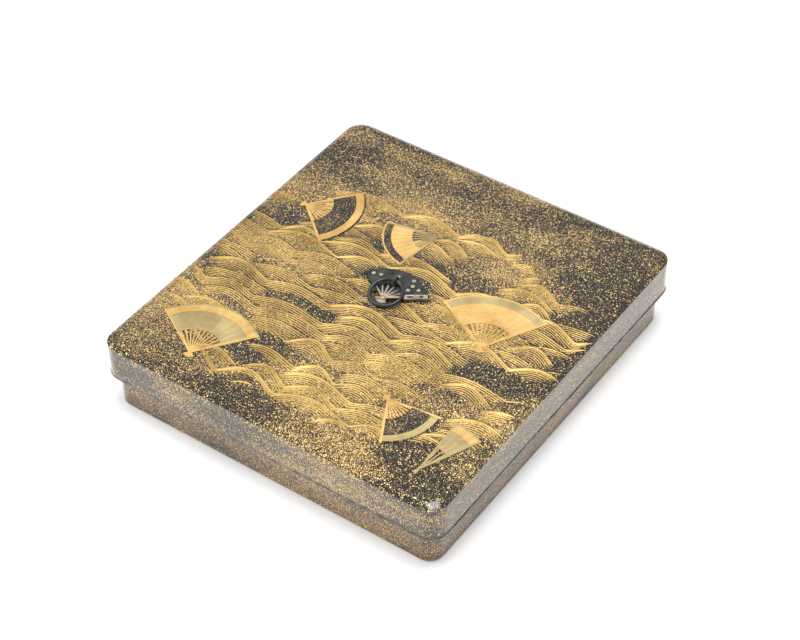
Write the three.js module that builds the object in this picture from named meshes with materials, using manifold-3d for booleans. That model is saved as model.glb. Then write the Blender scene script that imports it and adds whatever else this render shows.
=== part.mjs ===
// Poem paper box: a low, almost square lacquered wooden box with a deep overhanging lid,
// metal rim strips, and a fan-shaped metal fitting that carries a lifting ring.
// Millimetres, +Z up, origin in the middle of the underside.
import * as THREE from 'three';
import { mergeVertices } from 'three/addons/utils/BufferGeometryUtils.js';
import Module from 'manifold-3d';

const wasm = await Module();
wasm.setup();

// Lid: the outside of its walls
const LID_WIDTH = 216;
const LID_DEPTH = 232;
const LID_CORNER_RADIUS = 10;
const LID_WALL = 3.2;
const LID_EDGE_HEIGHT = 43.2; // crisp edge round the top, above the table
const LID_UNDERSIDE = 39.7;
const LID_MOUTH_HEIGHT = 21.7; // lower edge of the closed lid, above the table
const SHOULDER_WIDTH = 6;
const SHOULDER_RISE = 2.0;
const DOME_RISE = 1.8;
const SEAT_RADIUS = 29; // flat middle of the dome, planed for the fitting

// Box body
const FIT_GAP = 0.6; // running gap between the body and the lid walls
const BOX_CORNER_RADIUS = 8.6;
const BOX_WALL = 4;
const FLOOR_THICKNESS = 4;
const FLOOR_STEP = 2.6;
const PANEL_GAP = 0.1;
const FOOT_ROUND = 1.4;
const LID_REST_GAP = 0.3;

// Metal rim strips
const LID_RIM_HEIGHT = 2;
const LID_RIM_PROUD = 0.5;
const BOX_RIM_HEIGHT = 1.4;

// Fan fitting: its rivet is the fan's pivot, and the fan opens towards +Y
const PIVOT_X = -1.5;
const PIVOT_Y = -7;
const FAN_BASE_THICKNESS = 1;
const LEAF_THICKNESS = 0.8;
const PLEAT_DEPTH = 0.2;
const PLEATS = 14;
const LEAF_INNER_RADIUS = 10.8;
const LEAF_OUTER_RADIUS = 23.5;
const LEAF_START_ANGLE = 37;
const LEAF_END_ANGLE = 149;
const BASE_BORDER = 0.6;
const TAIL_RADIUS = 3.9;
const RIB_COUNT = 6;
const RIB_FIRST_ANGLE = 54;
const RIB_LAST_ANGLE = 144;
const RIB_WIDTH = 0.8;
const RIB_HEIGHT = 0.4;
const GUARD_ANGLE = 35;
const GUARD_WIDTH = 3.2;
const GUARD_SHAFT_WIDTH = 1.2;
const GUARD_HEIGHT = 0.6;
const PIVOT_DISC_RADIUS = 1.9;
const RIVET_RADIUS = 0.6;
const RIVET_HEAD_RADIUS = 1.3;
const RIVET_HEAD_HEIGHT = 0.6;
const BLOSSOM_RADIUS = 1.5;
const BLOSSOM_THICKNESS = 0.35;
const BLOSSOM_ANGLES = [62, 97, 128];
const BLOSSOM_PATH_RADIUS = 18.2;

// Lifting ring, its eye and the plate under the lid
const RING_DIAMETER = 20.5;
const RING_WIRE = 2;
const EYE_FROM_PIVOT = 12.5;
const EYE_HEIGHT = 4.5; // hole above the seat
const EYE_HOLE_RADIUS = 1.4;
const EYE_WIRE = 1.2;
const SHANK = 1.6;
const HOLE_GAP = 0.3;
const WASHER_RADIUS = 5;
const WASHER_THICKNESS = 0.8;
const LEG_LENGTH = 7;
const LEG_THICKNESS = 0.8;
const RING_REST_GAP = 0.35;

// Sizes that follow from the ones above
const OVERHANG = LID_WALL + FIT_GAP;
const BOX_WIDTH = LID_WIDTH - 2 * OVERHANG;
const BOX_DEPTH = LID_DEPTH - 2 * OVERHANG;
const BOX_RIM_TOP = LID_UNDERSIDE - LID_REST_GAP;
const BOX_WALL_TOP = BOX_RIM_TOP - BOX_RIM_HEIGHT;
const LID_WALL_BOTTOM = LID_MOUTH_HEIGHT + LID_RIM_HEIGHT;
const SEAT_HEIGHT = LID_EDGE_HEIGHT + SHOULDER_RISE + DOME_RISE;
const LEAF_TOP = FAN_BASE_THICKNESS + LEAF_THICKNESS;
const RIB_TOP = FAN_BASE_THICKNESS + RIB_HEIGHT;
const GUARD_TOP = RIB_TOP + GUARD_HEIGHT;
const HOLE = SHANK + 2 * HOLE_GAP;
const RING_CENTRE_RADIUS = (RING_DIAMETER - RING_WIRE) / 2;
const RING_LOW_END = RING_WIRE / 2 + RING_REST_GAP;
const RING_TILT = Math.asin((EYE_HEIGHT - RING_LOW_END) / (2 * RING_CENTRE_RADIUS));
const ARC_STEPS = 4; // facets in half a corner

const rad = (degrees) => (degrees * Math.PI) / 180;

const lacquer = new THREE.MeshStandardMaterial({ color: 0x2a1a0c, roughness: 0.25, metalness: 0 });
const goldLacquer = new THREE.MeshStandardMaterial({ color: 0x7a5a26, roughness: 0.3, metalness: 0 });
const rimMetal = new THREE.MeshStandardMaterial({ color: 0x4a4844, roughness: 0.45, metalness: 1 });
const darkMetal = new THREE.MeshStandardMaterial({ color: 0x25282a, roughness: 0.4, metalness: 1 });
const paleMetal = new THREE.MeshStandardMaterial({ color: 0xb8a894, roughness: 0.35, metalness: 1 });
const goldMetal = new THREE.MeshStandardMaterial({ color: 0xc79a4b, roughness: 0.3, metalness: 1 });

// Geometry from loops of points: side walls between neighbouring loops, flat ends
function loft(loops, closeRound = false) {
  const count = loops[0].length;
  const positions = loops.flat(2);
  const index = [];
  const spans = closeRound ? loops.length : loops.length - 1;
  for (let i = 0; i < spans; i++) {
    const here = i * count;
    const next = ((i + 1) % loops.length) * count;
    for (let j = 0; j < count; j++) {
      const k = (j + 1) % count;
      index.push(here + j, here + k, next + k);
      index.push(here + j, next + k, next + j);
    }
  }
  if (!closeRound) {
    const last = (loops.length - 1) * count;
    for (const [start, flip] of [[0, true], [last, false]]) {
      const ring = loops[start / count].map((p) => new THREE.Vector3(...p));
      for (const [a, b, c] of capTriangles(ring)) {
        if (flip) index.push(start + a, start + c, start + b);
        else index.push(start + a, start + b, start + c);
      }
    }
  }
  const geometry = new THREE.BufferGeometry();
  geometry.setAttribute('position', new THREE.Float32BufferAttribute(positions, 3));
  geometry.setIndex(index);
  return facingOut(geometry);
}

// Triangles of a flat loop that may be turned any way in space
function capTriangles(ring) {
  const normal = new THREE.Vector3();
  for (let i = 0; i < ring.length; i++) {
    normal.add(new THREE.Vector3().crossVectors(ring[i], ring[(i + 1) % ring.length]));
  }
  const turn = new THREE.Quaternion().setFromUnitVectors(
    normal.normalize(), new THREE.Vector3(0, 0, 1));
  const flat = ring.map((p) => p.clone().applyQuaternion(turn));
  return THREE.ShapeUtils.triangulateShape(flat.map((p) => new THREE.Vector2(p.x, p.y)), []);
}

function signedVolume(geometry) {
  const p = geometry.getAttribute('position');
  const index = geometry.getIndex().array;
  const [a, b, c] = [new THREE.Vector3(), new THREE.Vector3(), new THREE.Vector3()];
  let volume = 0;
  for (let i = 0; i < index.length; i += 3) {
    a.fromBufferAttribute(p, index[i]);
    b.fromBufferAttribute(p, index[i + 1]);
    c.fromBufferAttribute(p, index[i + 2]);
    volume += a.dot(b.cross(c)) / 6;
  }
  return volume;
}

function facingOut(geometry) {
  if (signedVolume(geometry) < 0) {
    const index = geometry.getIndex();
    for (let i = 0; i < index.count; i += 3) {
      const b = index.getX(i + 1);
      index.setX(i + 1, index.getX(i + 2));
      index.setX(i + 2, b);
    }
  }
  return geometry;
}

function toSolid(geometry) {
  const bare = geometry.clone();
  bare.deleteAttribute('normal');
  bare.deleteAttribute('uv');
  const merged = mergeVertices(bare, 1e-5);
  return new wasm.Manifold(new wasm.Mesh({
    numProp: 3,
    vertProperties: Float32Array.from(merged.getAttribute('position').array),
    triVerts: Uint32Array.from(merged.getIndex().array),
  }));
}

function fromSolid(solid) {
  const mesh = solid.getMesh();
  const geometry = new THREE.BufferGeometry();
  geometry.setAttribute('position', new THREE.BufferAttribute(mesh.vertProperties, 3));
  geometry.setIndex(new THREE.BufferAttribute(mesh.triVerts, 1));
  return geometry;
}

const union = (parts) => fromSolid(parts.map(toSolid).reduce((sum, part) => sum.add(part)));

function cut(geometry, ...tools) {
  return fromSolid(tools.map(toSolid).reduce((rest, tool) => rest.subtract(tool), toSolid(geometry)));
}

function boxBetween(x0, x1, y0, y1, z0, z1) {
  return new THREE.BoxGeometry(x1 - x0, y1 - y0, z1 - z0)
    .translate((x0 + x1) / 2, (y0 + y1) / 2, (z0 + z1) / 2);
}

// Upright shank hole, square, centred on (x, y)
const shankHole = (x, y, z0, z1) => boxBetween(x - HOLE / 2, x + HOLE / 2, y - HOLE / 2, y + HOLE / 2, z0, z1);

function plate(shape, z0, z1, curveSegments = 12) {
  return new THREE.ExtrudeGeometry(shape, { depth: z1 - z0, bevelEnabled: false, curveSegments })
    .translate(0, 0, z0);
}

function disc(radius, z0, z1, segments = 20) {
  return new THREE.CylinderGeometry(radius, radius, z1 - z0, segments)
    .rotateX(Math.PI / 2).translate(0, 0, (z0 + z1) / 2);
}

// One side of a rounded rectangle in plan, between the mitres in the middle of its two
// corners: sides 0 to 3 are front, right, back, left. The profile is [outward, height] points.
function mitredStrip(side, width, depth, radius, profile) {
  const cx = width / 2 - radius;
  const cy = depth / 2 - radius;
  const corners = [[-cx, -cy], [cx, -cy], [cx, cy], [-cx, cy]];
  const loops = [];
  for (const half of [0, 1]) {
    const [x, y] = corners[(side + half) % 4];
    for (let i = 0; i <= ARC_STEPS; i++) {
      const angle = rad(225 + 90 * side + 45 * half + (45 * i) / ARC_STEPS);
      const [ux, uy] = [Math.cos(angle), Math.sin(angle)];
      loops.push(profile.map(([out, z]) => [x + ux * (radius + out), y + uy * (radius + out), z]));
    }
  }
  return loft(loops);
}

// A loop round a rounded rectangle that turns, with blend from 0 to 1, into an ellipse
function roundedLoop(width, depth, radius, z, blend = 0, ellipse = [1, 1]) {
  const points = [];
  const cx = width / 2 - radius;
  const cy = depth / 2 - radius;
  const steps = 2 * ARC_STEPS;
  for (let quarter = 0; quarter < 4; quarter++) {
    const sx = quarter === 0 || quarter === 3 ? 1 : -1;
    const sy = quarter < 2 ? 1 : -1;
    for (let i = 0; i <= steps; i++) {
      const angle = rad(90 * quarter + (90 * i) / steps);
      const x = sx * cx + Math.cos(angle) * radius;
      const y = sy * cy + Math.sin(angle) * radius;
      const bearing = Math.atan2(y / depth, x / width);
      const ex = ellipse[0] * Math.cos(bearing);
      const ey = ellipse[1] * Math.sin(bearing);
      points.push([x + (ex - x) * blend, y + (ey - y) * blend, z]);
    }
  }
  return points;
}

// Half-round nose for the rim strips: from the inner face, over the outer side, and back
function nosedProfile(inner, outer, bottom, top, steps = 5) {
  const profile = [[inner, bottom], [inner, top]];
  const middle = (bottom + top) / 2;
  const half = (top - bottom) / 2;
  for (let i = 0; i <= steps; i++) {
    const angle = rad(90 - (180 * i) / steps);
    profile.push([outer - half * (1 - Math.cos(angle)), middle + half * Math.sin(angle)]);
  }
  return profile;
}

// Strip with only its upper corners eased, for the mouth of the body
function easedProfile(inner, outer, bottom, top, ease) {
  return [
    [inner, bottom], [inner, top - ease], [inner + ease, top],
    [outer - ease, top], [outer, top - ease], [outer, bottom],
  ];
}

function makeFloor() {
  const loops = [];
  const steps = 4;
  for (let i = 0; i <= steps; i++) {
    const angle = rad((90 * i) / steps);
    const inset = FOOT_ROUND * (1 - Math.sin(angle));
    const z = FOOT_ROUND * (1 - Math.cos(angle));
    loops.push(roundedLoop(BOX_WIDTH - 2 * inset, BOX_DEPTH - 2 * inset, BOX_CORNER_RADIUS - inset, z));
  }
  loops.push(roundedLoop(BOX_WIDTH, BOX_DEPTH, BOX_CORNER_RADIUS, FLOOR_STEP));
  const inset = BOX_WALL + PANEL_GAP;
  for (const z of [FLOOR_STEP, FLOOR_THICKNESS]) {
    loops.push(roundedLoop(BOX_WIDTH - 2 * inset, BOX_DEPTH - 2 * inset, BOX_CORNER_RADIUS - inset, z));
  }
  return loft(loops);
}

// Lid top: square edge, quarter-round shoulder, then a low dome that ends in a flat seat
function makeLidBoard() {
  const loops = [roundedLoop(LID_WIDTH, LID_DEPTH, LID_CORNER_RADIUS, LID_UNDERSIDE)];
  const shoulderSteps = 4;
  for (let i = 0; i <= shoulderSteps; i++) {
    const part = i / shoulderSteps;
    const inset = SHOULDER_WIDTH * part;
    const z = LID_EDGE_HEIGHT + SHOULDER_RISE * Math.sin(rad(90 * part));
    loops.push(roundedLoop(LID_WIDTH - 2 * inset, LID_DEPTH - 2 * inset, LID_CORNER_RADIUS + inset / 2, z));
  }
  const width = LID_WIDTH - 2 * SHOULDER_WIDTH;
  const depth = LID_DEPTH - 2 * SHOULDER_WIDTH;
  const domeSteps = 7;
  for (let i = 1; i <= domeSteps; i++) {
    const part = i / domeSteps;
    const z = LID_EDGE_HEIGHT + SHOULDER_RISE + DOME_RISE * (1 - (1 - part) ** 2);
    loops.push(roundedLoop(width, depth, LID_CORNER_RADIUS + SHOULDER_WIDTH / 2, z, part,
      [SEAT_RADIUS, SEAT_RADIUS]));
  }
  const eyeY = PIVOT_Y + EYE_FROM_PIVOT;
  return cut(loft(loops), shankHole(PIVOT_X, eyeY, LID_UNDERSIDE - 1, SEAT_HEIGHT + 1));
}

// A flat wedge of a ring from angle a0 to a1, in degrees
function sectorShape(inner, outer, a0, a1) {
  const shape = new THREE.Shape();
  shape.absarc(0, 0, outer, rad(a0), rad(a1), false);
  if (inner > 0) shape.absarc(0, 0, inner, rad(a1), rad(a0), true);
  else shape.lineTo(0, 0);
  return shape;
}

// A stick lying along a bearing, from one radius to another, with its own width at each end
function stick(bearing, r0, r1, w0, w1, z0, z1) {
  const shape = new THREE.Shape([
    new THREE.Vector2(r0, -w0 / 2), new THREE.Vector2(r1, -w1 / 2),
    new THREE.Vector2(r1, w1 / 2), new THREE.Vector2(r0, w0 / 2),
  ]);
  return plate(shape, z0, z1).rotateZ(rad(bearing));
}

function makeFanBase() {
  const guardEdge = GUARD_ANGLE - 5;
  const leaf = plate(sectorShape(0, LEAF_OUTER_RADIUS + BASE_BORDER, guardEdge, LEAF_END_ANGLE + 1.5),
    0, FAN_BASE_THICKNESS, 24);
  const tail = plate(sectorShape(0, TAIL_RADIUS + BASE_BORDER, guardEdge + 190, LEAF_END_ANGLE + 170),
    0, FAN_BASE_THICKNESS, 10);
  const boss = disc(PIVOT_DISC_RADIUS + BASE_BORDER, 0, FAN_BASE_THICKNESS);
  return cut(union([leaf, tail, boss]),
    disc(RIVET_RADIUS + HOLE_GAP, -1, FAN_BASE_THICKNESS + 1, 16),
    shankHole(0, EYE_FROM_PIVOT, -1, FAN_BASE_THICKNESS + 1));
}

// Folded leaf: its top runs up and down from fold to fold
function makeFanLeaf() {
  const loops = [];
  for (let i = 0; i <= PLEATS; i++) {
    const angle = rad(LEAF_START_ANGLE + ((LEAF_END_ANGLE - LEAF_START_ANGLE) * i) / PLEATS);
    const top = LEAF_TOP - (i % 2 === 0 ? PLEAT_DEPTH : 0);
    const at = (r, z) => [r * Math.cos(angle), r * Math.sin(angle), z];
    loops.push([
      at(LEAF_INNER_RADIUS, FAN_BASE_THICKNESS), at(LEAF_OUTER_RADIUS, FAN_BASE_THICKNESS),
      at(LEAF_OUTER_RADIUS, top), at(LEAF_INNER_RADIUS, top),
    ]);
  }
  const besideGuard = GUARD_WIDTH + 2 * HOLE_GAP;
  return cut(loft(loops), shankHole(0, EYE_FROM_PIVOT, 0, LEAF_TOP + 1),
    stick(GUARD_ANGLE, 0, 2 * LEAF_OUTER_RADIUS, besideGuard, besideGuard, 0, LEAF_TOP + 1));
}

function makeFanRibs() {
  const parts = [disc(PIVOT_DISC_RADIUS, FAN_BASE_THICKNESS, RIB_TOP)];
  const tip = LEAF_INNER_RADIUS - HOLE_GAP;
  for (let i = 0; i < RIB_COUNT; i++) {
    const bearing = RIB_FIRST_ANGLE + ((RIB_LAST_ANGLE - RIB_FIRST_ANGLE) * i) / (RIB_COUNT - 1);
    parts.push(stick(bearing, -TAIL_RADIUS, tip, RIB_WIDTH * 1.3, RIB_WIDTH, FAN_BASE_THICKNESS, RIB_TOP));
  }
  return cut(union(parts), disc(RIVET_RADIUS + HOLE_GAP, 0, RIB_TOP + 1, 16));
}

// Guard stick: a narrow shaft over the ribs, widening to a pierced slat beside the leaf
function makeFanGuard() {
  const slatStart = LEAF_INNER_RADIUS + 0.6;
  const slatEnd = LEAF_OUTER_RADIUS + BASE_BORDER;
  const halfWidth = GUARD_WIDTH / 2;
  const slat = new THREE.Shape([
    new THREE.Vector2(slatStart, -halfWidth), new THREE.Vector2(slatEnd, -halfWidth * 0.9),
    new THREE.Vector2(slatEnd, halfWidth * 0.9), new THREE.Vector2(slatStart, halfWidth),
  ]);
  const slot = new THREE.Path();
  slot.absellipse(slatStart + 3.4, 0, 1.9, 0.75, 0, 2 * Math.PI, true);
  const lozenge = new THREE.Path([
    new THREE.Vector2(slatEnd - 4.8, 0), new THREE.Vector2(slatEnd - 3.3, 0.95),
    new THREE.Vector2(slatEnd - 1.8, 0), new THREE.Vector2(slatEnd - 3.3, -0.95),
  ]);
  slat.holes.push(slot, lozenge);
  const parts = [
    plate(slat, FAN_BASE_THICKNESS, GUARD_TOP, 8),
    plate(new THREE.Shape([
      new THREE.Vector2(-TAIL_RADIUS, -GUARD_SHAFT_WIDTH / 2),
      new THREE.Vector2(slatStart + 0.5, -GUARD_SHAFT_WIDTH / 2),
      new THREE.Vector2(slatStart + 0.5, GUARD_SHAFT_WIDTH / 2),
      new THREE.Vector2(-TAIL_RADIUS, GUARD_SHAFT_WIDTH / 2),
    ]), RIB_TOP, GUARD_TOP),
  ];
  const flat = cut(union([...parts, disc(PIVOT_DISC_RADIUS * 0.8, RIB_TOP, GUARD_TOP)]),
    disc(RIVET_RADIUS + HOLE_GAP, RIB_TOP - 1, GUARD_TOP + 1, 16));
  return flat.rotateZ(rad(GUARD_ANGLE));
}

function makeRivet() {
  const profile = [[0, 0], [RIVET_RADIUS, 0], [RIVET_RADIUS, GUARD_TOP], [RIVET_HEAD_RADIUS, GUARD_TOP]];
  for (let i = 1; i <= 4; i++) {
    const angle = rad(22.5 * i);
    profile.push([RIVET_HEAD_RADIUS * Math.cos(angle), GUARD_TOP + RIVET_HEAD_HEIGHT * Math.sin(angle)]);
  }
  profile[profile.length - 1][0] = 0;
  return new THREE.LatheGeometry(profile.map(([r, z]) => new THREE.Vector2(r, z)), 16).rotateX(Math.PI / 2);
}

// Five-lobed inlay, flat on the crests of the folded leaf
function makeBlossom(angle) {
  const shape = new THREE.Shape();
  const petals = 5;
  for (let i = 0; i < petals; i++) {
    const a = (2 * Math.PI * i) / petals;
    const b = (2 * Math.PI * (i + 1)) / petals;
    const notch = BLOSSOM_RADIUS * 0.5;
    const swell = BLOSSOM_RADIUS * 1.15;
    if (i === 0) shape.moveTo(notch * Math.cos(a), notch * Math.sin(a));
    shape.bezierCurveTo(
      swell * Math.cos(a + 0.1), swell * Math.sin(a + 0.1),
      swell * Math.cos(b - 0.1), swell * Math.sin(b - 0.1),
      notch * Math.cos(b), notch * Math.sin(b));
  }
  const x = BLOSSOM_PATH_RADIUS * Math.cos(rad(angle));
  const y = BLOSSOM_PATH_RADIUS * Math.sin(rad(angle));
  return plate(shape, LEAF_TOP, LEAF_TOP + BLOSSOM_THICKNESS, 5).translate(x, y, 0);
}

// Round section bent into a ring in the XY plane
function torus(centreRadius, wire, around, across) {
  const profile = [];
  for (let i = 0; i <= across; i++) {
    const angle = (2 * Math.PI * i) / across;
    profile.push(new THREE.Vector2(
      centreRadius + (wire / 2) * Math.cos(angle), (wire / 2) * Math.sin(angle)));
  }
  profile[across].copy(profile[0]);
  return new THREE.LatheGeometry(profile, around);
}

// Split pin: the eye stands on the leaf, and its shank ends in two legs bent over below the lid
function makeRingEye() {
  const below = LID_UNDERSIDE - SEAT_HEIGHT - WASHER_THICKNESS;
  const eye = torus(EYE_HOLE_RADIUS + EYE_WIRE / 2, EYE_WIRE, 24, 10)
    .rotateZ(Math.PI / 2).translate(0, 0, EYE_HEIGHT);
  const shankTop = EYE_HEIGHT - EYE_HOLE_RADIUS - EYE_WIRE * 0.3;
  const shank = boxBetween(-SHANK / 2, SHANK / 2, -SHANK / 2, SHANK / 2, below - LEG_THICKNESS, shankTop);
  const legs = boxBetween(-SHANK / 2, SHANK / 2, -LEG_LENGTH, LEG_LENGTH, below - LEG_THICKNESS, below);
  return union([eye, shank, legs]);
}

function makeWasher() {
  const top = LID_UNDERSIDE - SEAT_HEIGHT;
  return cut(disc(WASHER_RADIUS, top - WASHER_THICKNESS, top, 32),
    shankHole(0, 0, top - WASHER_THICKNESS - 1, top + 1));
}

// Lifting ring: hangs from its top, which runs through the eye, and lies towards -Y
function makeRing() {
  return torus(RING_CENTRE_RADIUS, RING_WIRE, 40, 12)
    .rotateX(Math.PI / 2)
    .translate(0, -RING_CENTRE_RADIUS, 0)
    .rotateX(RING_TILT);
}

const SIDES = ['front', 'right', 'back', 'left'];
const box = new THREE.Group();

function place(parent, name, geometry, material) {
  const tidy = geometry.clone();
  tidy.deleteAttribute('normal');
  tidy.deleteAttribute('uv');
  const merged = mergeVertices(tidy, 1e-5);
  merged.computeVertexNormals();
  const mesh = new THREE.Mesh(merged, material);
  mesh.name = name;
  parent.add(mesh);
}

// The body of the box
const body = new THREE.Group();
place(body, 'box_floor', makeFloor(), lacquer);
const boxWallProfile = [
  [-BOX_WALL, FLOOR_STEP], [-BOX_WALL, BOX_WALL_TOP], [0, BOX_WALL_TOP], [0, FLOOR_STEP],
];
const boxRimProfile = easedProfile(-BOX_WALL, 0, BOX_WALL_TOP, BOX_RIM_TOP, BOX_RIM_HEIGHT * 0.35);
SIDES.forEach((name, side) => {
  const strip = (profile) => mitredStrip(side, BOX_WIDTH, BOX_DEPTH, BOX_CORNER_RADIUS, profile);
  place(body, `box_wall_${name}`, strip(boxWallProfile), goldLacquer);
  place(body, `box_rim_${name}`, strip(boxRimProfile), rimMetal);
});
box.add(body);

// The lid
const lid = new THREE.Group();
place(lid, 'lid_board', makeLidBoard(), lacquer);
const lidWallProfile = [
  [-LID_WALL, LID_WALL_BOTTOM], [-LID_WALL, LID_UNDERSIDE], [0, LID_UNDERSIDE], [0, LID_WALL_BOTTOM],
];
const lidRimProfile = nosedProfile(-LID_WALL, LID_RIM_PROUD, LID_MOUTH_HEIGHT, LID_WALL_BOTTOM);
SIDES.forEach((name, side) => {
  const strip = (profile) => mitredStrip(side, LID_WIDTH, LID_DEPTH, LID_CORNER_RADIUS, profile);
  place(lid, `lid_wall_${name}`, strip(lidWallProfile), goldLacquer);
  place(lid, `lid_rim_${name}`, strip(lidRimProfile), rimMetal);
});
box.add(lid);

// The fan fitting on the seat in the middle of the lid
const fitting = new THREE.Group();
fitting.position.set(PIVOT_X, PIVOT_Y, SEAT_HEIGHT);
place(fitting, 'fan_base', makeFanBase(), darkMetal);
place(fitting, 'fan_leaf', makeFanLeaf(), darkMetal);
place(fitting, 'fan_ribs', makeFanRibs(), paleMetal);
place(fitting, 'fan_guard', makeFanGuard(), paleMetal);
place(fitting, 'fan_rivet', makeRivet(), goldMetal);
BLOSSOM_ANGLES.forEach((angle, i) => {
  place(fitting, `inlay_blossom_${i + 1}`, makeBlossom(angle), i === 1 ? goldMetal : paleMetal);
});
const eyeGroup = new THREE.Group();
eyeGroup.position.set(0, EYE_FROM_PIVOT, 0);
place(eyeGroup, 'ring_eye', makeRingEye(), darkMetal);
place(eyeGroup, 'eye_washer', makeWasher(), paleMetal);
const ringGroup = new THREE.Group();
ringGroup.position.set(0, 0, EYE_HEIGHT);
place(ringGroup, 'lifting_ring', makeRing(), darkMetal);
eyeGroup.add(ringGroup);
fitting.add(eyeGroup);
box.add(fitting);

export default box;
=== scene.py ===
import math
import random

import bmesh
import bpy
from mathutils import Matrix, Vector


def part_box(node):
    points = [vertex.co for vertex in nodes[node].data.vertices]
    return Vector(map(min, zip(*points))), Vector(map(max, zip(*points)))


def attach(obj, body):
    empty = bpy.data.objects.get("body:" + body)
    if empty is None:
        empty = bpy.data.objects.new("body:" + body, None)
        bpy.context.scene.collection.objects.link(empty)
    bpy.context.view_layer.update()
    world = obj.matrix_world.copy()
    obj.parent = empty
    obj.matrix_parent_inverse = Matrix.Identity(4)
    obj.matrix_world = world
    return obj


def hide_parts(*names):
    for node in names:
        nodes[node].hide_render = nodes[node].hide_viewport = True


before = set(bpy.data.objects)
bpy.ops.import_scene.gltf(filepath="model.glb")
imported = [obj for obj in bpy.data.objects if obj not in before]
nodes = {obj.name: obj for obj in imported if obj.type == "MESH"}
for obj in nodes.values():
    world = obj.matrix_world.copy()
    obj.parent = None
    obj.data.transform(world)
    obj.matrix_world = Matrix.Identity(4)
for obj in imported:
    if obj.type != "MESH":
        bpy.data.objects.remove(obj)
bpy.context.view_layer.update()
MM = 0.001

# Camera: a long lens that looks down on the front right corner of the lid, with the place and
# the slight lean that the photograph was fitted with.
PHOTO_WIDTH = 800
FOCAL_PIXELS = 2062
SENSOR_WIDTH = 36
CAMERA_AZIMUTH = 35.89
CAMERA_ELEVATION = 43.31
CAMERA_ROLL = -1.02
CAMERA_DISTANCE = 1163.4 * MM
CAMERA_TARGET = Vector((-13.94 * MM, 25.74 * MM, 0))


def camera_matrix(azimuth, elevation, roll, distance, target):
    back = Vector((
        math.sin(azimuth) * math.cos(elevation),
        -math.cos(azimuth) * math.cos(elevation),
        math.sin(elevation),
    ))
    right = Vector((0, 0, 1)).cross(back).normalized()
    up = back.cross(right)
    leaning_right = right * math.cos(roll) + up * math.sin(roll)
    leaning_up = up * math.cos(roll) - right * math.sin(roll)
    turn = Matrix((leaning_right, leaning_up, back)).transposed().to_4x4()
    return Matrix.Translation(target + back * distance) @ turn


camera = bpy.data.objects.new("camera", bpy.data.cameras.new("camera"))
camera.data.sensor_width = SENSOR_WIDTH
camera.data.lens = SENSOR_WIDTH * FOCAL_PIXELS / PHOTO_WIDTH
camera.data.clip_start = 10 * MM
camera.matrix_world = camera_matrix(
    math.radians(CAMERA_AZIMUTH), math.radians(CAMERA_ELEVATION), math.radians(CAMERA_ROLL),
    CAMERA_DISTANCE, CAMERA_TARGET)
bpy.context.scene.collection.objects.link(camera)
bpy.context.scene.camera = camera
bpy.context.scene.view_settings.view_transform = "Standard"

# Table and light: a white sheet in a studio with dim walls and a bright ceiling. One soft lamp
# hangs overhead, a broad one stands on the left and a low one lights the crease in front.
FLOOR_SIZE = 6
SHEET_WHITE = (0.96, 0.96, 0.96, 1)
SHEET_GLOW = 0.16


def new_material(name):
    material = bpy.data.materials.new(name)
    material.use_nodes = True
    tree = material.node_tree
    shader = tree.nodes["Principled BSDF"]
    return material, tree, shader


floor_bm = bmesh.new()
bmesh.ops.create_grid(floor_bm, x_segments=1, y_segments=1, size=FLOOR_SIZE / 2)
floor_mesh = bpy.data.meshes.new("floor")
floor_bm.to_mesh(floor_mesh)
floor = bpy.data.objects.new("floor", floor_mesh)
bpy.context.scene.collection.objects.link(floor)
floor_material, floor_tree, floor_shader = new_material("white_sheet")
floor_shader.inputs["Base Color"].default_value = SHEET_WHITE
floor_shader.inputs["Emission Color"].default_value = (1, 1, 1, 1)
floor_shader.inputs["Emission Strength"].default_value = SHEET_GLOW
floor_shader.inputs["Roughness"].default_value = 0.9
floor_shader.inputs["Specular IOR Level"].default_value = 0.1
floor.data.materials.append(floor_material)

world = bpy.data.worlds.new("studio")
world.use_nodes = True
bpy.context.scene.world = world
background = world.node_tree.nodes["Background"]
WALL_LIGHT = 0.42
CEILING_LIGHT = 0.72
WALL_TOP = 0.45
CEILING_EDGE = 0.62
paths = world.node_tree.nodes.new("ShaderNodeLightPath")
bearing = world.node_tree.nodes.new("ShaderNodeTexCoord")
split = world.node_tree.nodes.new("ShaderNodeSeparateXYZ")
fade = world.node_tree.nodes.new("ShaderNodeMapRange")
fade.interpolation_type = "SMOOTHSTEP"
fade.inputs["From Min"].default_value = WALL_TOP
fade.inputs["From Max"].default_value = CEILING_EDGE
fade.inputs["To Min"].default_value = WALL_LIGHT
fade.inputs["To Max"].default_value = CEILING_LIGHT
white_to_camera = world.node_tree.nodes.new("ShaderNodeMath")
white_to_camera.operation = "MAXIMUM"
world.node_tree.links.new(bearing.outputs["Generated"], split.inputs["Vector"])
world.node_tree.links.new(split.outputs["Z"], fade.inputs["Value"])
world.node_tree.links.new(fade.outputs["Result"], white_to_camera.inputs[0])
world.node_tree.links.new(paths.outputs["Is Camera Ray"], white_to_camera.inputs[1])
world.node_tree.links.new(white_to_camera.outputs["Value"], background.inputs["Strength"])
background.inputs["Color"].default_value = (1, 1, 1, 1)


def soft_lamp(name, place, size, power):
    """A square lamp turned towards the box."""
    lamp = bpy.data.lights.new(name, "AREA")
    lamp.shape = "SQUARE"
    lamp.size = size
    lamp.energy = power
    item = bpy.data.objects.new(name, lamp)
    item.location = place
    item.rotation_euler = (-Vector(place)).to_track_quat("-Z", "Y").to_euler()
    bpy.context.scene.collection.objects.link(item)


soft_lamp("key_lamp", place=(0.10, 0.16, 1.8), size=1.1, power=24)
soft_lamp("side_lamp", place=(-1.7, -0.9, 1.1), size=1.2, power=18)
soft_lamp("crease_lamp", place=(-0.85, -1.65, 0.45), size=0.5, power=4)

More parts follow.
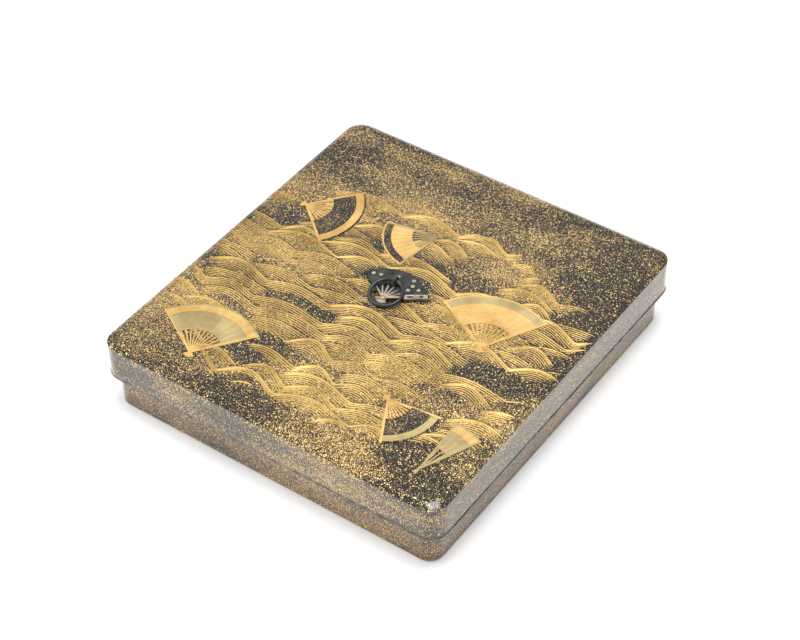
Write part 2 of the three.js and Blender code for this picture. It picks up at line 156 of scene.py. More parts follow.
# Lacquer: black-brown, polished under a clear coat, with gold flakes sprinkled into it in drifts.
# One group strews the flakes, thick where its Density is high, and another lays the drifts.
LACQUER_BLACK = (0.010, 0.006, 0.004, 1)
LACQUER_BROWN = (0.050, 0.022, 0.008, 1)
FLAKE_GOLD = (0.86, 0.53, 0.15, 1)
FLAKE_PALE = (0.95, 0.74, 0.33, 1)
ORANGE_GOLD = (0.56, 0.27, 0.06, 1)
COARSE_CELLS = 840
FINE_CELLS = 1600
HAZE_CELLS = 3000
FLAKE_SIZE = 0.34
HAZE_SIZE = 0.40
SMALLEST_FLAKE = 0.55
LARGEST_FLAKE = 1.25
FINE_SHARE = 1.15
HAZE_FALL = 1.6
FLAKE_METALLIC = 0.55
FLAKE_ROUGHNESS = 0.42
POLISHED_ROUGHNESS = 0.16
FLAKE_BUMP = 0.08 * MM


def add_node(tree, kind, **settings):
    node = tree.nodes.new(kind)
    for key, value in settings.items():
        setattr(node, key, value)
    return node


def math_node(tree, operation, a, b):
    node = add_node(tree, "ShaderNodeMath", operation=operation)
    for socket, value in zip(node.inputs, (a, b)):
        if isinstance(value, (int, float)):
            socket.default_value = value
        else:
            tree.links.new(value, socket)
    return node.outputs[0]


def mix_colours(tree, factor, a, b):
    node = add_node(tree, "ShaderNodeMix", data_type="RGBA")
    for socket, value in zip((node.inputs[0], node.inputs[6], node.inputs[7]), (factor, a, b)):
        if hasattr(value, "is_linked"):
            tree.links.new(value, socket)
        else:
            socket.default_value = value
    return node.outputs[2]


def map_range(tree, value, low, high, to_low=0.0, to_high=1.0):
    node = add_node(tree, "ShaderNodeMapRange")
    tree.links.new(value, node.inputs["Value"])
    node.inputs["From Min"].default_value = low
    node.inputs["From Max"].default_value = high
    node.inputs["To Min"].default_value = to_low
    node.inputs["To Max"].default_value = to_high
    return node.outputs["Result"]


def flake_group():
    """Gold flakes in one size of cell: Mask is 1 on a flake, Tone differs from flake to flake."""
    group = bpy.data.node_groups.new("gold_flakes", "ShaderNodeTree")
    face = group.interface
    face.new_socket("Vector", in_out="INPUT", socket_type="NodeSocketVector")
    for name, value in (("Cell Scale", 1000.0), ("Density", 0.5), ("Flake Size", 0.35)):
        socket = face.new_socket(name, in_out="INPUT", socket_type="NodeSocketFloat")
        socket.default_value = value
    for name in ("Mask", "Tone"):
        face.new_socket(name, in_out="OUTPUT", socket_type="NodeSocketFloat")
    inlet = group.nodes.new("NodeGroupInput")
    outlet = group.nodes.new("NodeGroupOutput")
    cells = add_node(group, "ShaderNodeTexVoronoi", voronoi_dimensions="3D", feature="F1")
    cells.inputs["Randomness"].default_value = 1.0
    group.links.new(inlet.outputs["Vector"], cells.inputs["Vector"])
    group.links.new(inlet.outputs["Cell Scale"], cells.inputs["Scale"])
    split = group.nodes.new("ShaderNodeSeparateColor")
    group.links.new(cells.outputs["Color"], split.inputs["Color"])
    spread = map_range(group, split.outputs[1], 0, 1, SMALLEST_FLAKE, LARGEST_FLAKE)
    size = math_node(group, "MULTIPLY", spread, inlet.outputs["Flake Size"])
    near = math_node(group, "LESS_THAN", cells.outputs["Distance"], size)
    chosen = math_node(group, "LESS_THAN", split.outputs[0], inlet.outputs["Density"])
    group.links.new(math_node(group, "MULTIPLY", near, chosen), outlet.inputs["Mask"])
    group.links.new(split.outputs[2], outlet.inputs["Tone"])
    return group


GOLD_FLAKES = flake_group()


def flakes(tree, vector, scale, size, density):
    node = add_node(tree, "ShaderNodeGroup", node_tree=GOLD_FLAKES)
    tree.links.new(vector, node.inputs["Vector"])
    node.inputs["Cell Scale"].default_value = scale
    node.inputs["Flake Size"].default_value = size
    tree.links.new(density, node.inputs["Density"])
    return node.outputs["Mask"], node.outputs["Tone"]


def drift_group():
    """Soft drifts: Mask runs from 0, where the stretched noise is below Low, to 1 above High."""
    group = bpy.data.node_groups.new("soft_drifts", "ShaderNodeTree")
    face = group.interface
    for name in ("Vector", "Stretch"):
        face.new_socket(name, in_out="INPUT", socket_type="NodeSocketVector")
    for name in ("Scale", "Detail", "Low", "High"):
        face.new_socket(name, in_out="INPUT", socket_type="NodeSocketFloat")
    face.new_socket("Mask", in_out="OUTPUT", socket_type="NodeSocketFloat")
    inlet = group.nodes.new("NodeGroupInput")
    outlet = group.nodes.new("NodeGroupOutput")
    mapping = add_node(group, "ShaderNodeMapping")
    group.links.new(inlet.outputs["Vector"], mapping.inputs["Vector"])
    group.links.new(inlet.outputs["Stretch"], mapping.inputs["Scale"])
    noise = add_node(group, "ShaderNodeTexNoise", noise_dimensions="3D")
    group.links.new(mapping.outputs["Vector"], noise.inputs["Vector"])
    group.links.new(inlet.outputs["Scale"], noise.inputs["Scale"])
    group.links.new(inlet.outputs["Detail"], noise.inputs["Detail"])
    fade = add_node(group, "ShaderNodeMapRange")
    group.links.new(noise.outputs["Fac"], fade.inputs["Value"])
    group.links.new(inlet.outputs["Low"], fade.inputs["From Min"])
    group.links.new(inlet.outputs["High"], fade.inputs["From Max"])
    group.links.new(fade.outputs["Result"], outlet.inputs["Mask"])
    return group


SOFT_DRIFTS = drift_group()


def drifts(tree, vector, stretch, scale, detail, low, high):
    node = add_node(tree, "ShaderNodeGroup", node_tree=SOFT_DRIFTS)
    tree.links.new(vector, node.inputs["Vector"])
    node.inputs["Stretch"].default_value = stretch
    node.inputs["Scale"].default_value = scale
    node.inputs["Detail"].default_value = detail
    node.inputs["Low"].default_value = low
    node.inputs["High"].default_value = high
    return node.outputs["Mask"]


def lacquer(name, stretch, scale, low, high, sparse, dense, brown, grain=1.0, gold_tone=FLAKE_GOLD):
    """Drifts run from sparse to dense gold and warm the ground by brown; grain makes flakes finer."""
    material, tree, shader = new_material(name)
    place = tree.nodes.new("ShaderNodeTexCoord").outputs["Object"]
    drift = drifts(tree, place, stretch, scale, 3.0, low, high)
    density = map_range(tree, drift, 0, 1, sparse, dense)
    coarse, coarse_tone = flakes(tree, place, COARSE_CELLS * grain, FLAKE_SIZE, density)
    fine_density = math_node(tree, "MULTIPLY", density, FINE_SHARE)
    fine, _ = flakes(tree, place, FINE_CELLS * grain, FLAKE_SIZE, fine_density)
    haze_density = math_node(tree, "POWER", density, HAZE_FALL)
    haze, _ = flakes(tree, place, HAZE_CELLS * grain, HAZE_SIZE, haze_density)
    mask = math_node(tree, "MAXIMUM", coarse, math_node(tree, "MAXIMUM", fine, haze))
    gold = mix_colours(tree, coarse_tone, gold_tone, FLAKE_PALE)
    ground = mix_colours(tree, math_node(tree, "MULTIPLY", drift, brown), LACQUER_BLACK, LACQUER_BROWN)
    tree.links.new(mix_colours(tree, mask, ground, gold), shader.inputs["Base Color"])
    tree.links.new(math_node(tree, "MULTIPLY", mask, FLAKE_METALLIC), shader.inputs["Metallic"])
    roughness = map_range(tree, mask, 0, 1, POLISHED_ROUGHNESS, FLAKE_ROUGHNESS)
    tree.links.new(roughness, shader.inputs["Roughness"])
    bump = add_node(tree, "ShaderNodeBump")
    bump.inputs["Strength"].default_value = 0.25
    bump.inputs["Distance"].default_value = FLAKE_BUMP
    tree.links.new(mask, bump.inputs["Height"])
    tree.links.new(bump.outputs["Normal"], shader.inputs["Normal"])
    shader.inputs["Coat Weight"].default_value = 0.6
    shader.inputs["Coat Roughness"].default_value = 0.12
    return material


LID_LACQUER = lacquer(
    "lid_lacquer", stretch=(0.55, 1.0, 1.0), scale=26, low=0.42, high=0.66,
    sparse=0.26, dense=0.92, brown=0.8)
SKIRT_LACQUER = lacquer(
    "skirt_lacquer", stretch=(0.5, 0.5, 1.6), scale=42, low=0.36, high=0.68,
    sparse=0.20, dense=0.72, brown=1.0, grain=1.4)
BODY_LACQUER = lacquer(
    "body_lacquer", stretch=(0.5, 0.5, 1.6), scale=40, low=0.34, high=0.66,
    sparse=0.24, dense=0.70, brown=1.6, grain=1.4, gold_tone=ORANGE_GOLD)

# Lid: the boards under one unbroken coat of lacquer. The top is a finer copy of the domed
# board, with its rounded shoulder, and the four walls are joined at their mitres.
lid_low, lid_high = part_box("lid_board")
SHOULDER_WIDTH = 6 * MM
SHOULDER_RISE = 2.0 * MM
DOME_RISE = 1.8 * MM
SEAT_RADIUS = 29 * MM
CORNER_RADIUS = 10 * MM
CORNER_OFFSET = CORNER_RADIUS * 0.9999
CORNER_STEPS = 20
DOME_SQUARENESS = 12
EDGE_HEIGHT = lid_high.z - SHOULDER_RISE - DOME_RISE
DOME_BASE = EDGE_HEIGHT + SHOULDER_RISE
SHOULDER_STEPS = 10
DOME_SPACING = 4 * MM
MERGE_GAP = 0.002 * MM
MITRE_SLACK = 0.01 * MM
LEVEL_SLACK = 0.001 * MM


def dome_height(x, y):
    """Height of the lid's top above the table: it rises from a rounded rectangle to a flat seat."""
    half_width = lid_high.x - SHOULDER_WIDTH
    half_depth = lid_high.y - SHOULDER_WIDTH
    reach = math.hypot(x, y)
    if reach <= SEAT_RADIUS:
        return DOME_BASE + DOME_RISE
    across = (abs(x) / reach / half_width) ** DOME_SQUARENESS
    along = (abs(y) / reach / half_depth) ** DOME_SQUARENESS
    rim = (across + along) ** (-1 / DOME_SQUARENESS)
    part = min(1, max(0, (rim - reach) / (rim - SEAT_RADIUS)))
    return DOME_BASE + DOME_RISE * (1 - (1 - part) ** 2)


def finish_piece(name, bm, body, material, replaced=(), smooth_angle=32, bevel=0):
    mesh = bpy.data.meshes.new(name)
    bm.to_mesh(mesh)
    bm.free()
    mesh.shade_smooth()
    mesh.set_sharp_from_angle(angle=math.radians(smooth_angle))
    piece = bpy.data.objects.new(name, mesh)
    bpy.context.scene.collection.objects.link(piece)
    mesh.materials.append(material)
    if bevel:
        edge = piece.modifiers.new("eased_edges", "BEVEL")
        edge.width = bevel
        edge.segments = 2
        edge.limit_method = "ANGLE"
        edge.angle_limit = math.radians(35)
        edge.harden_normals = False
    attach(piece, body)
    if replaced:
        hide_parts(*replaced)
    return piece


def merged_copy(*names):
    bm = bmesh.new()
    for name in names:
        bm.from_mesh(nodes[name].data)
    bmesh.ops.remove_doubles(bm, verts=bm.verts, dist=MERGE_GAP)
    return bm


def without_mitres(bm, half_width, half_depth, radius):
    """Drops the glued faces in the corners, where each vertex is as far along as across."""
    cx, cy = half_width - radius, half_depth - radius

    def on_mitre(v):
        return abs(v.co.x) > cx and abs((abs(v.co.x) - cx) - (abs(v.co.y) - cy)) < MITRE_SLACK

    glued = [f for f in bm.faces if all(on_mitre(v) for v in f.verts)]
    bmesh.ops.delete(bm, geom=glued, context="FACES")
    return bm


def lid_top():
    bm = bmesh.new()
    corners = [(-1, -1), (1, -1), (1, 1), (-1, 1)]
    verts = [bm.verts.new((sx * lid_high.x, sy * lid_high.y, lid_low.z)) for sx, sy in corners]
    bm.faces.new(verts)
    bmesh.ops.bevel(bm, geom=list(bm.verts), offset=CORNER_OFFSET, affect="VERTICES",
                    segments=CORNER_STEPS, profile=0.5, material=-1)
    base = bm.faces[:][0]
    made = bmesh.ops.extrude_face_region(bm, geom=[base])
    raised = [v for v in made["geom"] if isinstance(v, bmesh.types.BMVert)]
    for v in raised:
        v.co.z = EDGE_HEIGHT
    top = max(bm.faces, key=lambda f: f.calc_center_median().z)
    inset = 0
    for i in range(1, SHOULDER_STEPS + 1):
        share = i / SHOULDER_STEPS
        wanted = SHOULDER_WIDTH * share
        bmesh.ops.inset_region(bm, faces=[top], thickness=wanted - inset, use_even_offset=True)
        inset = wanted
        for v in top.verts:
            v.co.z = EDGE_HEIGHT + SHOULDER_RISE * math.sin(math.radians(90 * share))
    dome_from = DOME_BASE - LEVEL_SLACK
    for normal, half in ((Vector((1, 0, 0)), lid_high.x), (Vector((0, 1, 0)), lid_high.y)):
        count = int(half * 2 / DOME_SPACING)
        for i in range(1, count):
            at = -half + 2 * half * i / count
            inside = [f for f in bm.faces if all(v.co.z >= dome_from for v in f.verts)]
            geom = set(inside)
            for f in inside:
                geom.update(f.verts)
                geom.update(f.edges)
            bmesh.ops.bisect_plane(bm, geom=list(geom), plane_co=normal * at, plane_no=normal)
    for v in bm.verts:
        if v.co.z >= dome_from:
            v.co.z = dome_height(v.co.x, v.co.y)
    bmesh.ops.recalc_face_normals(bm, faces=bm.faces)
    return bm


finish_piece("lid_top", lid_top(), "lid", LID_LACQUER, ["lid_board"], smooth_angle=40)


def finish_sides(name, strips, high, radius, body, material, smooth_angle=32):
    """One piece out of four strips round the lid or the body, whose middle is over the origin."""
    sides = [f"{strips}_{side}" for side in ("front", "right", "back", "left")]
    joined = without_mitres(merged_copy(*sides), high.x, high.y, radius)
    finish_piece(name, joined, body, material, sides, smooth_angle=smooth_angle)


finish_sides("lid_skirt", "lid_wall", lid_high, CORNER_RADIUS, "lid", SKIRT_LACQUER)

# Rim strips: dull grey tin alloy along the mouth of the lid, where it stands a little proud, and
# along the mouth of the body inside; soldered at the corners and rubbed smooth.
WORN_PATCHES = 180
WORN_ROUGHNESS = 0.7
GRAIN_SCALE = 900
GRAIN_DEPTH = 0.05 * MM


def metal_grain_group():
    """The fine grain of rubbed metal, put out as a Normal."""
    group = bpy.data.node_groups.new("metal_grain", "ShaderNodeTree")
    face = group.interface
    face.new_socket("Vector", in_out="INPUT", socket_type="NodeSocketVector")
    face.new_socket("Grain Scale", in_out="INPUT", socket_type="NodeSocketFloat")
    face.new_socket("Normal", in_out="OUTPUT", socket_type="NodeSocketVector")
    inlet = group.nodes.new("NodeGroupInput")
    outlet = group.nodes.new("NodeGroupOutput")
    grain = add_node(group, "ShaderNodeTexNoise")
    group.links.new(inlet.outputs["Vector"], grain.inputs["Vector"])
    group.links.new(inlet.outputs["Grain Scale"], grain.inputs["Scale"])
    bump = add_node(group, "ShaderNodeBump")
    bump.inputs["Strength"].default_value = 0.2
    bump.inputs["Distance"].default_value = GRAIN_DEPTH
    group.links.new(grain.outputs["Fac"], bump.inputs["Height"])
    group.links.new(bump.outputs["Normal"], outlet.inputs["Normal"])
    return group


METAL_GRAIN = metal_grain_group()


def worn_metal(name, colour, worn, roughness, metallic):
    """Metal whose colour turns to worn, and smoother, in small patches."""
    material, tree, shader = new_material(name)
    place = tree.nodes.new("ShaderNodeTexCoord").outputs["Object"]
    patch = drifts(tree, place, (1, 1, 1), WORN_PATCHES, 4.0, 0.35, 0.7)
    tree.links.new(mix_colours(tree, patch, colour, worn), shader.inputs["Base Color"])
    smoother = map_range(tree, patch, 0, 1, roughness, roughness * WORN_ROUGHNESS)
    tree.links.new(smoother, shader.inputs["Roughness"])
    shader.inputs["Metallic"].default_value = metallic
    grain = add_node(tree, "ShaderNodeGroup", node_tree=METAL_GRAIN)
    grain.inputs["Grain Scale"].default_value = GRAIN_SCALE
    tree.links.new(place, grain.inputs["Vector"])
    tree.links.new(grain.outputs["Normal"], shader.inputs["Normal"])
    return material


RIM_METAL = worn_metal("rim_metal", (0.10, 0.098, 0.092, 1), (0.24, 0.23, 0.21, 1), 0.42, 1.0)
_, box_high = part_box("box_floor")
BODY_CORNER_RADIUS = 8.6 * MM
finish_sides("lid_rim", "lid_rim", lid_high, CORNER_RADIUS, "lid", RIM_METAL,
             smooth_angle=50)
finish_sides("box_rim", "box_rim", box_high, BODY_CORNER_RADIUS, "box", RIM_METAL,
             smooth_angle=50)

# Body of the box: wooden floor and walls under one coat of lacquer, its gold more orange than on
# the lid. The walls are joined at their mitres and stand on the rebated edge of the floor.
finish_sides("body_skirt", "box_wall", box_high, BODY_CORNER_RADIUS, "box", BODY_LACQUER)
finish_piece("body_floor", merged_copy("box_floor"), "box", BODY_LACQUER, ["box_floor"],
             smooth_angle=50)

# Combed waves: fine raised gold lines laid in nested arcs, row before row, each row hiding the
# feet of the one behind. The lines are drawn with a flat brush and thin out towards their ends.
WAVE_PITCH = 1.45 * MM
WAVE_STEP = 1.6 * MM
WAVE_ROW = 7.0 * MM
WAVE_SLOPE = 0.07
LINE_HALF_WIDTH = 0.40 * MM
LINE_HALF_HEIGHT = 0.09 * MM
WAVE_TOP = 66 * MM
WAVE_FOOT = -104 * MM
STRANDS = 12
FIRST_HUMP_SHIFT = 30
HUMP_LENGTHS = (24, 46)
HUMP_SWELLS = (3.0, 8.5)
HUMP_LEAN = 0.8
HUMP_SHARPNESS = 1.3
BARE_SHARE = 0.26
TALL_SWELL = 6 * MM
CREST_EXTRA = 0.7
FIRST_WEIGHT = 1.05
WEIGHT_LOSS = 0.08
THINNEST = 0.5
TIP_WEIGHT = 0.25
TIP_GROWTH = 0.3
STRANDS_PER_COVER = 24
COVER_HALF_WIDTH = 107 * MM
COVER_HALF_DEPTH = 84 * MM
COVER_MIDDLE = -16 * MM
COVER_RIPPLES = ((0.17, 47, 0, 1.3), (0.12, 118, 60, 0), (0.10, 30, 150, 0))
OVAL_CORNERS = 6
PIVOT = Vector((-1.5 * MM, -7 * MM))
FITTING_REACH = 25 * MM
FITTING_BEARINGS = (26, 152)
HUB_REACH = 6 * MM
SPECK_CELLS = 2600
SPECK_SIZE = 0.5
SPECK_SHADE = 0.35
RUBBED_PATCHES = 60
chance = random.Random(11)


def gold_finish(name, bright, dull, roughness, metallic):
    material, tree, shader = new_material(name)
    place = tree.nodes.new("ShaderNodeTexCoord").outputs["Object"]
    patch = drifts(tree, place, (1, 1, 1), RUBBED_PATCHES, 4.0, 0.35, 0.68)
    rubbed = map_range(tree, patch, 0, 1, 0.1, 0.5)
    speck, _ = flakes(tree, place, SPECK_CELLS, SPECK_SIZE, rubbed)
    colour = mix_colours(tree, patch, bright, dull)
    shade = math_node(tree, "MULTIPLY", speck, SPECK_SHADE)
    tree.links.new(mix_colours(tree, shade, colour, LACQUER_BROWN), shader.inputs["Base Color"])
    tree.links.new(map_range(tree, patch, 0, 1, roughness, roughness + 0.15), shader.inputs["Roughness"])
    shader.inputs["Metallic"].default_value = metallic
    shader.inputs["Coat Weight"].default_value = 0.3
    shader.inputs["Coat Roughness"].default_value = 0.15
    return material


WAVE_GOLD = gold_finish("wave_gold", (0.82, 0.54, 0.16, 1), (0.44, 0.27, 0.06, 1), 0.36, 0.55)


def wave_row(index):
    """Height across the lid of one row's crest: rounded humps, steeper on their right."""
    y = WAVE_TOP - index * WAVE_ROW
    humps = []
    x = lid_low.x - chance.uniform(0, FIRST_HUMP_SHIFT) * MM
    while x < lid_high.x:
        length = chance.uniform(*HUMP_LENGTHS) * MM
        humps.append((x, length, chance.uniform(*HUMP_SWELLS) * MM, chance.random() > BARE_SHARE))
        x += length

    def crest(at):
        for start, length, swell, drawn in humps:
            if start <= at < start + length:
                u = ((at - start) / length) ** HUMP_LEAN
                rise = swell * math.sin(math.pi * u) ** HUMP_SHARPNESS
                return y + WAVE_SLOPE * at + rise, swell, drawn
        return y + WAVE_SLOPE * at, 0, False

    return crest


def wave_cover(x, y):
    """Over 0 in the part of the lid that carries waves, and lowest near its uneven edge."""
    ripple = sum(size * math.sin(x * across + y * along + shift)
                 for size, across, along, shift in COVER_RIPPLES)
    beyond_width = (abs(x) / COVER_HALF_WIDTH) ** 5
    beyond_depth = (abs(y - COVER_MIDDLE) / COVER_HALF_DEPTH) ** 3
    return 1 + ripple - beyond_width - beyond_depth


def under_fitting(x, y):
    """True under the fan-shaped plate, where no line runs."""
    dx, dy = x - PIVOT.x, y - PIVOT.y
    reach = math.hypot(dx, dy)
    bearing = math.degrees(math.atan2(dy, dx))
    first, last = FITTING_BEARINGS
    return reach < HUB_REACH or (reach < FITTING_REACH and first < bearing < last)


def wave_strokes():
    """Points of every line with its weight: line k lies k steps below its crest, unless it is hidden
    by the next rows, and fewer lines are left where the cover runs out."""
    rows = [wave_row(i) for i in range(int((WAVE_TOP - WAVE_FOOT) / WAVE_ROW) + 2)]
    columns = int(2 * lid_high.x / WAVE_STEP)
    strokes = []
    for i, row in enumerate(rows[:-1]):
        for k in range(STRANDS):
            stroke = []
            for c in range(columns + 1):
                x = lid_low.x + c * WAVE_STEP
                crest, swell, drawn = row(x)
                y = crest - k * WAVE_PITCH
                front = max(r(x)[0] for r in rows[i + 1:i + 3])
                free = drawn and y > front + 0.5 * WAVE_PITCH
                if free and k < STRANDS_PER_COVER * wave_cover(x, y) and not under_fitting(x, y):
                    weight = max(THINNEST, FIRST_WEIGHT - WEIGHT_LOSS * k)
                    if k == 0 and swell > TALL_SWELL:
                        weight += CREST_EXTRA
                    stroke.append((x, y, weight))
                else:
                    strokes.append(stroke)
                    stroke = []
            strokes.append(stroke)
    return [s for s in strokes if len(s) > 2]


def brush_lines(name, strokes, half_width, half_height, lift):
    """A closed flat-oval tube along each stroke, following the domed lid."""
    profile = bpy.data.curves.new(name + "_profile", "CURVE")
    oval = profile.splines.new("POLY")
    oval.points.add(OVAL_CORNERS - 1)
    for i, point in enumerate(oval.points):
        angle = math.tau * i / OVAL_CORNERS
        point.co = (half_width * math.cos(angle), half_height * math.sin(angle), 0, 1)
    oval.use_cyclic_u = True
    profile_item = bpy.data.objects.new(name + "_profile", profile)
    bpy.context.scene.collection.objects.link(profile_item)
    curve = bpy.data.curves.new(name + "_strokes", "CURVE")
    curve.dimensions = "3D"
    curve.twist_mode = "Z_UP"
    curve.bevel_mode = "OBJECT"
    curve.bevel_object = profile_item
    curve.use_fill_caps = True
    for stroke in strokes:
        spline = curve.splines.new("POLY")
        spline.points.add(len(stroke) - 1)
        for n, (point, (x, y, weight)) in enumerate(zip(spline.points, stroke)):
            from_end = min(n, len(stroke) - 1 - n)
            point.co = (x, y, dome_height(x, y) + lift, 1)
            point.radius = weight * min(1, TIP_WEIGHT + TIP_GROWTH * from_end)
    item = bpy.data.objects.new(name + "_strokes", curve)
    bpy.context.scene.collection.objects.link(item)
    shown = item.evaluated_get(bpy.context.evaluated_depsgraph_get())
    mesh = bpy.data.meshes.new_from_object(shown)
    bm = bmesh.new()
    bm.from_mesh(mesh)
    bmesh.ops.remove_doubles(bm, verts=bm.verts, dist=0.0005 * MM)
    bmesh.ops.recalc_face_normals(bm, faces=bm.faces)
    bpy.data.objects.remove(item)
    bpy.data.objects.remove(profile_item)
    bpy.data.meshes.remove(mesh)
    return bm


waves = brush_lines("waves", wave_strokes(), LINE_HALF_WIDTH, LINE_HALF_HEIGHT, 0.03 * MM)
finish_piece("wave_lines", waves, "lid", WAVE_GOLD, smooth_angle=60)

# Folding fans afloat on the waves: low raised leaves of gold, silver and dark lacquer, folded
# in fine pleats, each with its ribs and two guard sticks and a plain border band.
FAN_GOLD = gold_finish("fan_gold", (0.95, 0.62, 0.22, 1), (0.62, 0.37, 0.11, 1), 0.34, 0.45)
FAN_PALE = gold_finish("fan_pale", (0.62, 0.49, 0.22, 1), (0.36, 0.27, 0.11, 1), 0.38, 0.45)
FAN_DARK = lacquer(
    "fan_dark", stretch=(1, 1, 1), scale=90, low=0.4, high=0.7,
    sparse=0.10, dense=0.35, brown=0.5, grain=1.6)
LEAF_LIFT = 0.16 * MM
LEAF_RISE = 0.16 * MM
PLEAT_RISE = 0.11 * MM
PLEAT_TURN = 9
THROAT = 0.46
BAND_INNER = 0.84
BAND_OUTER = 0.97
BAND_RISE = 0.07 * MM
BAND_MARGIN = 1
LEAF_FOOT = 0.02 * MM
STICK_TAPER = 0.7
RIB_TAIL = 0.09
RIB_WIDTH = 0.75 * MM
RIB_RISE = 0.26 * MM
RIB_UNDER_LEAF = 0.4 * MM
GUARD_TAIL = 0.10
GUARD_REACH = 1.01
GUARD_WIDTH = 1.5 * MM
GUARD_RISE = 0.42 * MM
FLAT_SHADING = 4


def settled(bm, centre):
    """Moves a flat shape to its place and lays it on the domed lid."""
    for v in bm.verts:
        x, y = v.co.x + centre[0], v.co.y + centre[1]
        v.co = Vector((x, y, v.co.z + dome_height(x, y)))
    bmesh.ops.recalc_face_normals(bm, faces=bm.faces)
    return bm


def leaf_band(inner, outer, start, end, folds, height):
    """Part of a ring, folded in pleats, and closed below."""
    bm = bmesh.new()
    a, b = math.radians(start), math.radians(end)
    first = [bm.verts.new((r * math.cos(a), r * math.sin(a), height)) for r in (inner, outer)]
    edge = bm.edges.new(first)
    bmesh.ops.spin(bm, geom=[*first, edge], cent=(0, 0, 0), axis=(0, 0, 1), angle=b - a,
                   steps=folds * 2, use_merge=False, use_duplicate=False)
    for v in bm.verts:
        turn = math.atan2(v.co.y, v.co.x)
        while turn < a - 0.001:
            turn += math.tau
        if round((turn - a) / (b - a) * folds * 2) % 2:
            v.co.z += PLEAT_RISE
    made = bmesh.ops.extrude_face_region(bm, geom=bm.faces[:])
    for v in (g for g in made["geom"] if isinstance(g, bmesh.types.BMVert)):
        v.co.z = LEAF_FOOT
    return bm


def sticks(bearings, inner, outer, width, height):
    """Straight slats round the pivot, narrower at the pivot than at the leaf."""
    bm = bmesh.new()
    for bearing in bearings:
        made = bmesh.ops.create_cube(bm, size=1)["verts"]
        bmesh.ops.scale(bm, vec=(outer - inner, width, height), verts=made)
        bmesh.ops.translate(bm, vec=((inner + outer) / 2, 0, height / 2), verts=made)
        for v in made:
            if v.co.x < (inner + outer) / 2:
                v.co.y *= STICK_TAPER
        bmesh.ops.rotate(bm, cent=(0, 0, 0), verts=made,
                         matrix=Matrix.Rotation(math.radians(bearing), 3, "Z"))
    return bm


def folding_fan(name, centre, radius, start, end, leaf, band, ribs):
    """A fan with its pivot at centre, opened between two bearings: leaf, border, ribs, guards."""
    centre = (centre[0] * MM, centre[1] * MM)
    radius = radius * MM
    throat = radius * THROAT
    top = LEAF_LIFT + LEAF_RISE
    folds = max(3, round((end - start) / PLEAT_TURN))
    rib_bearings = [start + (end - start) * (i + 0.5) / folds for i in range(folds)]
    parts = (
        ("leaf", leaf_band(throat, radius, start, end, folds, top), leaf, FLAT_SHADING),
        ("band", leaf_band(radius * BAND_INNER, radius * BAND_OUTER, start + BAND_MARGIN,
                           end - BAND_MARGIN, folds, top + BAND_RISE), band, FLAT_SHADING),
        ("ribs", sticks(rib_bearings, -radius * RIB_TAIL, throat + RIB_UNDER_LEAF, RIB_WIDTH,
                        RIB_RISE), ribs, 32),
        ("guards", sticks((start, end), -radius * GUARD_TAIL, radius * GUARD_REACH, GUARD_WIDTH,
                          GUARD_RISE), ribs, 32),
    )
    for part, bm, material, smooth_angle in parts:
        finish_piece(f"{name}_{part}", settled(bm, centre), "lid", material, smooth_angle=smooth_angle)


folding_fan("fan_a", (62, -8), 40, 62, 152, FAN_GOLD, FAN_PALE, FAN_GOLD)
folding_fan("fan_b", (-62, -96), 37, 52, 150, FAN_PALE, FAN_GOLD, FAN_GOLD)
folding_fan("fan_c", (-84, 34), 34, -40, 50, FAN_DARK, FAN_GOLD, FAN_GOLD)
folding_fan("fan_d", (-6, 52), 31, 190, 262, FAN_GOLD, FAN_DARK, FAN_PALE)
folding_fan("fan_e", (44, -66), 30, -62, 8, FAN_DARK, FAN_PALE, FAN_GOLD)
folding_fan("fan_f", (84, -96), 36, 66, 92, FAN_PALE, FAN_GOLD, FAN_PALE)

# Fan fitting: a dark patinated plate and folded leaf with worn edges, pale silver ribs and
# guard stick, held by a gilt rivet; three small blossoms are let into the leaf. It sits on a
# round patch of black lacquer, which also serves as painted shadow of the ring.
DARK_METAL = worn_metal("dark_metal", (0.030, 0.034, 0.032, 1), (0.090, 0.098, 0.090, 1), 0.40, 0.6)
SILVER = worn_metal("silver", (0.60, 0.52, 0.42, 1), (0.34, 0.29, 0.23, 1), 0.36, 0.5)
GILT = worn_metal("gilt", (0.66, 0.43, 0.17, 1), (0.45, 0.28, 0.10, 1), 0.34, 0.6)
FITTING_FINISH = (
    ("fan_base", DARK_METAL, "dark_metal"), ("fan_leaf", DARK_METAL, "dark_metal"),
    ("fan_ribs", SILVER, "silver"), ("fan_guard", SILVER, "silver"), ("fan_rivet", GILT, "gold"),
    ("inlay_blossom_1", SILVER, "silver"), ("inlay_blossom_2", GILT, "gold"),
    ("inlay_blossom_3", SILVER, "silver"), ("ring_eye", DARK_METAL, "dark_metal"),
    ("eye_washer", SILVER, "silver"),
)
GROUND_AND_SHADOW_FOOT = 10.2 * MM
GROUND_AND_SHADOW_TOP = 10.0 * MM
GROUND_AND_SHADOW_RISE = 0.2 * MM
GROUND_AND_SHADOW_FROM_PIVOT = 3.4 * MM
# Dark disc round the fitting: partly black lacquer ground and partly painted shadow of the ring.
ground = bmesh.new()
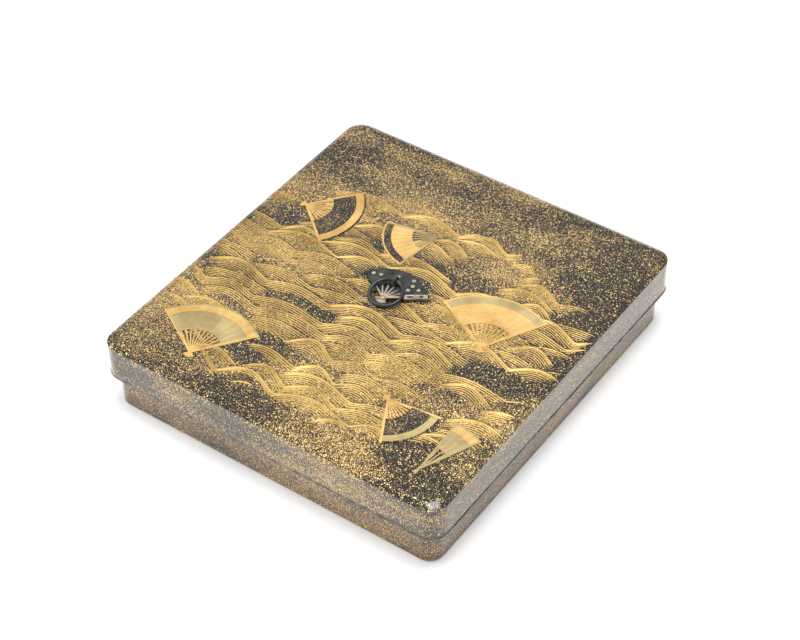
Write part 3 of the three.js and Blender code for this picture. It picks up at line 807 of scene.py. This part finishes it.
made = bmesh.ops.create_cone(ground, cap_ends=True, segments=48, radius1=GROUND_AND_SHADOW_FOOT,
                             radius2=GROUND_AND_SHADOW_TOP, depth=GROUND_AND_SHADOW_RISE)["verts"]
bmesh.ops.translate(ground, verts=made, vec=(
    PIVOT.x, PIVOT.y + GROUND_AND_SHADOW_FROM_PIVOT, lid_high.z + GROUND_AND_SHADOW_RISE / 2))
finish_piece("fitting_ground_and_shadow", ground, "lid", FAN_DARK)
for node, metal, slot in FITTING_FINISH:
    finish_piece(node + "_dressed", merged_copy(node), "lid", metal, [node], smooth_angle=34,
                 bevel=0.1 * MM)

# Relief on the leaf of the fitting: small chased flowers, some silver and some left dark, low
# enough for the ring to lie over them. Each place is a bearing from the rivet and a reach.
LEAF_TOP = 1.8 * MM
PETALS = 5
PETAL = 0.62 * MM
PETAL_RISE = 0.28 * MM
PETAL_NARROWING = 0.75
PETAL_SPREAD = 1.1
FLOWERS = (
    (SILVER, "silver", ((72, 21.2), (50, 20.0), (57, 14.6), (139, 20.4))),
    (DARK_METAL, "dark_metal", ((84, 14.8), (110, 21.0), (118, 14.4), (86, 20.4), (136, 14.6))),
)
for metal, slot, places in FLOWERS:
    relief = bmesh.new()
    for bearing, reach in places:
        turn = math.radians(bearing)
        middle = PIVOT.to_3d() + Vector((math.cos(turn), math.sin(turn), 0)) * reach * MM
        for petal in range(PETALS):
            angle = turn + math.tau * petal / PETALS
            made = bmesh.ops.create_uvsphere(relief, u_segments=10, v_segments=8, radius=PETAL)["verts"]
            bmesh.ops.scale(relief, vec=(1, PETAL_NARROWING, PETAL_RISE / PETAL), verts=made)
            bmesh.ops.translate(relief, vec=(PETAL * PETAL_SPREAD, 0, 0), verts=made)
            bmesh.ops.rotate(relief, cent=(0, 0, 0), matrix=Matrix.Rotation(angle, 3, "Z"), verts=made)
            bmesh.ops.translate(relief, vec=(middle.x, middle.y, lid_high.z + LEAF_TOP), verts=made)
    finish_piece("leaf_relief_" + slot, relief, "lid", metal)

# Lifting ring: round dark wire, bent and soldered into a closed ring, loose in the eye of the
# split pin, in which it swings.
finish_piece("ring_dressed", merged_copy("lifting_ring"), "ring", DARK_METAL, ["lifting_ring"],
             smooth_angle=50)
